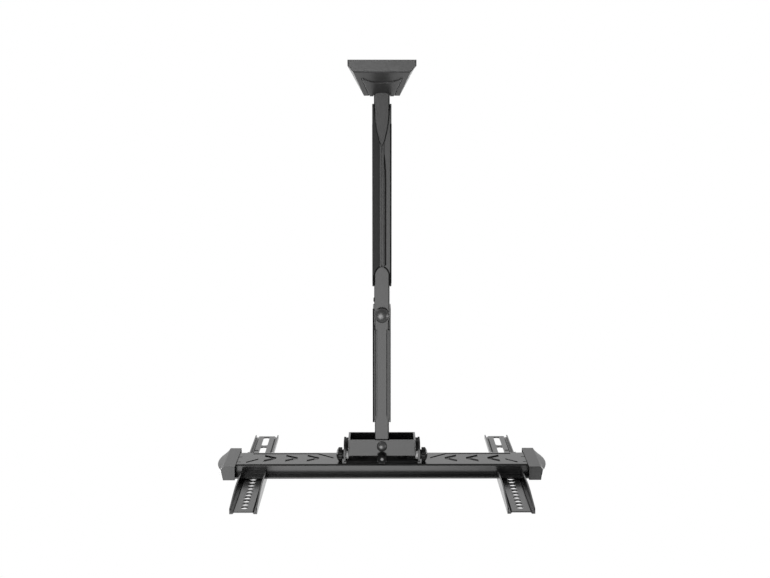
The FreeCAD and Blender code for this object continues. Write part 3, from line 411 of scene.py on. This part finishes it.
def bead(points, radius, closed=False):
    """A round bead along level points, closed to a ring if asked."""
    shape = bmesh.new()
    rings = []
    count = len(points)
    for i, point in enumerate(points):
        before = points[i - 1] if i or closed else points[0]
        after = points[(i + 1) % count] if i + 1 < count or closed else points[-1]
        side = (Vector(after) - Vector(before)).cross(UP).normalized()
        turns = [2 * math.pi * k / BEAD_SIDES for k in range(BEAD_SIDES)]
        rings.append([shape.verts.new(Vector(point) + radius * (math.cos(t) * side + math.sin(t) * UP))
                      for t in turns])
    pairs = list(zip(rings, rings[1:])) + ([(rings[-1], rings[0])] if closed else [])
    for one, two in pairs:
        for k in range(BEAD_SIDES):
            face = shape.faces.new([one[k], one[(k + 1) % BEAD_SIDES], two[(k + 1) % BEAD_SIDES], two[k]])
            face.smooth = True
    if not closed:
        shape.faces.new(rings[0])
        shape.faces.new(rings[-1])
    return shape


# %% [markdown]
# The screw that locks the level has a six-lobed socket for its key. On the real screw the socket is pressed into
# the head, so its bare metal floor lies deeper than the black rim. Cutting the solid would give the same, but the
# star is only a few pixels wide. A collar with a star-shaped opening stands on the head here, and a bright floor
# fills the opening. A black washer lies round the head and covers the tab round it, as painted shade where the tab
# lies in the dark.

# %% Rings round the lock screw
STEPS = 48

low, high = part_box("level_lock_screw")
lock_x, lock_y, lock_z = (low[0] + high[0]) / 2, (low[1] + high[1]) / 2, low[2]
print("lock screw at", round(lock_x, 4), round(lock_y, 4), round(lock_z, 4))


def steady(radius):
    """The same radius at every angle."""
    return lambda turn: radius


def around(radius_at, z):
    """Points once round the lock screw, at a radius that may change with the angle."""
    turns = [2 * math.pi * k / STEPS for k in range(STEPS)]
    return [(lock_x + radius_at(t) * math.cos(t), lock_y + radius_at(t) * math.sin(t), z) for t in turns]


def turned_ring(profile):
    """A ring round the lock screw from a closed profile of radii and heights."""
    shape = bmesh.new()
    loops = [[shape.verts.new(point) for point in around(radius_at, z)] for radius_at, z in profile]
    for one, two in zip(loops, loops[1:] + loops[:1]):
        for k in range(STEPS):
            shape.faces.new([one[k], one[(k + 1) % STEPS], two[(k + 1) % STEPS], two[k]])
    return shape


# %% Washer of the level lock
WASHER_IN = 0.0066
WASHER_OUT = 0.0078
WASHER_TALL = 0.0012
WASHER_BREAK = 0.4

tab_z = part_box("tilt_bracket")[0][2]
# The black washer also paints shade over the tab round the screw.
add_rubber("lock_washer_shade", turned_ring((
    (steady(WASHER_IN), tab_z),
    (steady(WASHER_OUT), tab_z),
    (steady(WASHER_OUT), tab_z - WASHER_TALL * (1 - WASHER_BREAK)),
    (steady(WASHER_OUT - WASHER_TALL * WASHER_BREAK), tab_z - WASHER_TALL),
    (steady(WASHER_IN), tab_z - WASHER_TALL),
)), "tilt_head")

# %% Star socket of the level lock
LOBES = 6
SOCKET_OUT = 0.0052
SOCKET_DRAFT = 0.0004
SOCKET_MEAN = 0.0024
SOCKET_WAVE = 0.0007
SOCKET_RIM = 0.0009
SOCKET_FLOOR = 0.0003
FLOOR_FIT = 0.98
FLOOR_BREAK = 0.00005


def star(turn):
    """Radius of the six-lobed socket at an angle."""
    return SOCKET_MEAN + SOCKET_WAVE * math.cos(LOBES * turn)


add_rubber("lock_socket_rim", turned_ring((
    (steady(SOCKET_OUT), lock_z),
    (steady(SOCKET_OUT - SOCKET_DRAFT), lock_z - SOCKET_RIM),
    (star, lock_z - SOCKET_RIM),
    (star, lock_z),
)), "tilt_head")
floor_outline = around(lambda turn: star(turn) * FLOOR_FIT, lock_z)
socket_floor = plate(floor_outline, (0, 0, -SOCKET_FLOOR), FLOOR_BREAK)
add_piece("lock_socket_floor", socket_floor, "tilt_head", ZINC)

# %% [markdown]
# A plastic pad fills the gap between each ear of the tilting bracket and the swivelling bracket, beside the pale
# washer. It keeps the ear straight when the knob is tightened. It would be moulded, and a pushed-out outline gives
# the same. It follows the rounded nose of the ear, one millimetre inside its edge, and is thinner than the gap.

# %% Tilt pads
PAD_X = (0.0533, 0.0567)
PAD_BACK_Y = -0.6033
PAD_NOSE_Y = -0.591
PAD_ROUND = 0.0127
PAD_LOW_Z = -0.0155
PAD_HIGH_Z = 0.006
PAD_STEPS = 8
PAD_PARTS = 8.5
PAD_BREAK = 0.0004


def pad_outline(x):
    """Outline of a tilt pad in the plane of the ear."""
    centre_y = PAD_NOSE_Y - PAD_ROUND
    line = [(x, PAD_BACK_Y, PAD_LOW_Z - PAD_ROUND)]
    for centre_z, first in ((PAD_LOW_Z, -90), (PAD_HIGH_Z, 0)):
        for step in range(1, PAD_STEPS + 1):
            turn = math.radians(first + 90 * step / PAD_PARTS)
            line.append((x, centre_y + PAD_ROUND * math.cos(turn), centre_z + PAD_ROUND * math.sin(turn)))
    return line + [(x, PAD_BACK_Y, PAD_HIGH_Z + PAD_ROUND)]


for side, sign in SIDES:
    push = (sign * (PAD_X[1] - PAD_X[0]), 0, 0)
    add_rubber("tilt_pad_" + side, plate(pad_outline(sign * PAD_X[0]), push, PAD_BREAK), "tilt_head")

# %% [markdown]
# The lower edge of the folded bracket lies close to the bar. A black edging is pushed onto it on each side of the
# tab, so the two sheets do not rub. It could be a pressed profile, but a plain bead is enough at this size.

# %% Edging of the folded bracket
EDGING_X = (0.0045, 0.056)
EDGING_Y = -0.6214
EDGING_SUNK = 0.0004
EDGING_RADIUS = 0.0014

for side, sign in SIDES:
    line = [(sign * x, EDGING_Y, tab_z + EDGING_SUNK) for x in (EDGING_X[0], sum(EDGING_X) / 2, EDGING_X[1])]
    add_rubber("tilt_edging_" + side, bead(line, EDGING_RADIUS), "tilt_head")

# %% [markdown]
# The cable sleeve of the first arm ends in an arch round the fork. A soft black bead edges the arch and paints the
# dark line of shadow in the gap round the fork. Two more beads edge the point at the sleeve's other end. They could
# be swept along a curve object, but the rings of a mesh follow the sloping underside as well.

# %% Arch of the first sleeve
SLOPE_EDGE = 0.0134
SLOPE_LIP = 0.003
SLEEVE_LOW = -0.0306
SLEEVE_HOLLOW = 0.0024
ARCH_HALF = 0.0126
ARCH_Y = -0.3315
ARCH_RISE = 0.0195
ARCH_FOOT_Y = -0.3415
ARCH_STEPS = 24
ARCH_SUNK = 0.0004
ARCH_SHADOW_BEAD = 0.0013


def sleeve_z(x):
    """Height of the sleeve's underside across the arm: its two halves rise towards the slit."""
    run = (SLOPE_EDGE - max(abs(x), SLOPE_LIP)) / (SLOPE_EDGE - SLOPE_LIP)
    return SLEEVE_LOW + SLEEVE_HOLLOW * run


leg_y = (ARCH_FOOT_Y + ARCH_Y) / 2
arch = [(ARCH_HALF, ARCH_FOOT_Y), (ARCH_HALF, leg_y)]
for step in range(ARCH_STEPS + 1):
    turn = math.pi * step / ARCH_STEPS
    arch.append((ARCH_HALF * math.cos(turn), ARCH_Y + ARCH_RISE * math.sin(turn)))
arch += [(-ARCH_HALF, leg_y), (-ARCH_HALF, ARCH_FOOT_Y)]
# This bead paints the shadow in the gap round the fork.
add_rubber("sleeve_arch_shadow_bead", bead([(x, y, sleeve_z(x) + ARCH_SUNK) for x, y in arch], ARCH_SHADOW_BEAD), "first_arm")

# %% Point of the first sleeve
VEE = ((0.0122, -0.0655), (0.0103, -0.0891), (0.0079, -0.1045), (0.0044, -0.1195), (0.0009, -0.1283))
VEE_SUNK = 0.0003
VEE_BEADS = (("left", -1, 0.0009), ("right", 1, 0.0006))

for side, sign, thick in VEE_BEADS:
    line = [(sign * x, y, sleeve_z(x) + VEE_SUNK) for x, y in VEE]
    add_rubber("sleeve_vee_bead_" + side, bead(line, thick), "first_arm")

# %% [markdown]
# The slit along the first sleeve lets the cables in. A black bead lies along one side of it and bends towards the
# point: it paints the curved line of shadow that the slit's lip casts beside the slit. Black beads along the
# sleeve's two lower corners paint the shade on its sides. All of it could be moulded with the sleeve, but separate
# beads can stop short of the wall end, so the rims clear the hood when the arm is swung right round.

# %% Painted shadow line and shaded rims of the first sleeve
SHADOW_LINE = ((-0.001, -0.131), (-0.0024, -0.138), (-0.0038, -0.147), (-0.0048, -0.156), (-0.0055, -0.165),
        (-0.0058, -0.18), (-0.0058, -0.3105))
SHADOW_LINE_SUNK = 0.0005
SHADOW_LINE_TOP = SLEEVE_LOW + 0.0021
SHADOW_LINE_BEAD = 0.0012
RIM_Y = (-0.094, -0.2, -0.338)
RIM_Z = SLEEVE_LOW + 0.0008
RIM_INSET = {"right": 0.0008, "left": 0.001}
RIM_SHADE_BEAD = {"right": 0.0009, "left": 0.0013}

# This bead paints the lip's shadow beside the slit.
shadow_line = [(x, y, min(sleeve_z(x) + SHADOW_LINE_SUNK, SHADOW_LINE_TOP)) for x, y in SHADOW_LINE]
add_rubber("sleeve_shadow_line_bead", bead(shadow_line, SHADOW_LINE_BEAD), "first_arm")
low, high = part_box("inner_arm_sleeve")
# These beads paint shade along the sleeve's sides.
for side, x in (("right", high[0] - RIM_INSET["right"]), ("left", low[0] + RIM_INSET["left"])):
    add_rubber("sleeve_side_shade_bead_" + side, bead([(x, y, RIM_Z) for y in RIM_Y], RIM_SHADE_BEAD[side]), "first_arm")

# %% [markdown]
# The sleeve of the second arm has a black trim along one lower corner only, which steps down where its lip starts.
# A thin seam shows on each side, where the lips meet the steel. Both would be strips pressed into a groove. Beads
# half sunk in the surface look the same and need no groove.

# %% Trim and seams of the second sleeve
TRIM_X = 0.0131
TRIM_LINE = ((-0.379, -0.0215), (-0.411, -0.0215), (-0.4125, -0.0239), (-0.558, -0.0239))
TRIM_BEAD = 0.0013
SEAM_X = {"right": 0.0101, "left": -0.0076}
SEAM_Y = (-0.4125, -0.5, -0.548)
SEAM_Z = -0.0244
SEAM_BEAD = 0.0005

add_rubber("sleeve_edge_trim", bead([(TRIM_X, y, z) for y, z in TRIM_LINE], TRIM_BEAD), "second_arm")
for side, x in SEAM_X.items():
    add_rubber("sleeve_seam_" + side, bead([(x, y, SEAM_Z) for y in SEAM_Y], SEAM_BEAD), "second_arm")

# %% [markdown]
# Each dome under the arms gets a thin black ring at its base, which paints the dark line of shade round it. A torus
# would do, but the bead helper closes a ring just as well, and the ring's size is read from the dome's own box.

# %% Dome rings
ARM_FLOOR = -0.026
RING_STEPS = 48
RINGS = (("elbow_shade_ring", "elbow_cap_lower", "first_arm", 0.0008),
         ("head_dome_shade_ring", "head_pivot_bolt", "swivel_head", 0.0007))

for name, node, body, tube in RINGS:
    low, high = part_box(node)
    middle = Vector(((low[0] + high[0]) / 2, (low[1] + high[1]) / 2, ARM_FLOOR))
    radius = (high[0] - low[0]) / 2 - tube
    turns = [2 * math.pi * k / RING_STEPS for k in range(RING_STEPS)]
    ring = [middle + Vector((radius * math.cos(t), radius * math.sin(t), -tube)) for t in turns]
    # Each ring paints the shade round its dome.
    add_rubber(name, bead(ring, tube, closed=True), body)

# %% [markdown]
# A small lug stands out from the edge of the fork's lower plate, on one side only. It looks like a stop for the
# folded arm, left standing when the plate was cut. A plate with broken edges is enough for it.

# %% Stop lug of the fork
LUG_X = (0.0118, 0.0132)
LUG_Y = (-0.3678, -0.3603)
LUG_Z = (-0.0257, -0.0233)
LUG_SLOPE = 0.0012
LUG_BREAK = 0.0004

lug = [(LUG_X[0], LUG_Y[0], LUG_Z[0]), (LUG_X[1], LUG_Y[0] + LUG_SLOPE, LUG_Z[0]),
       (LUG_X[1], LUG_Y[1] - LUG_SLOPE, LUG_Z[0]), (LUG_X[0], LUG_Y[1], LUG_Z[0])]
lug_plate = plate(lug, (0, 0, LUG_Z[1] - LUG_Z[0]), LUG_BREAK)
add_piece("fork_lug", lug_plate, "first_arm", FINISHES["steel"])
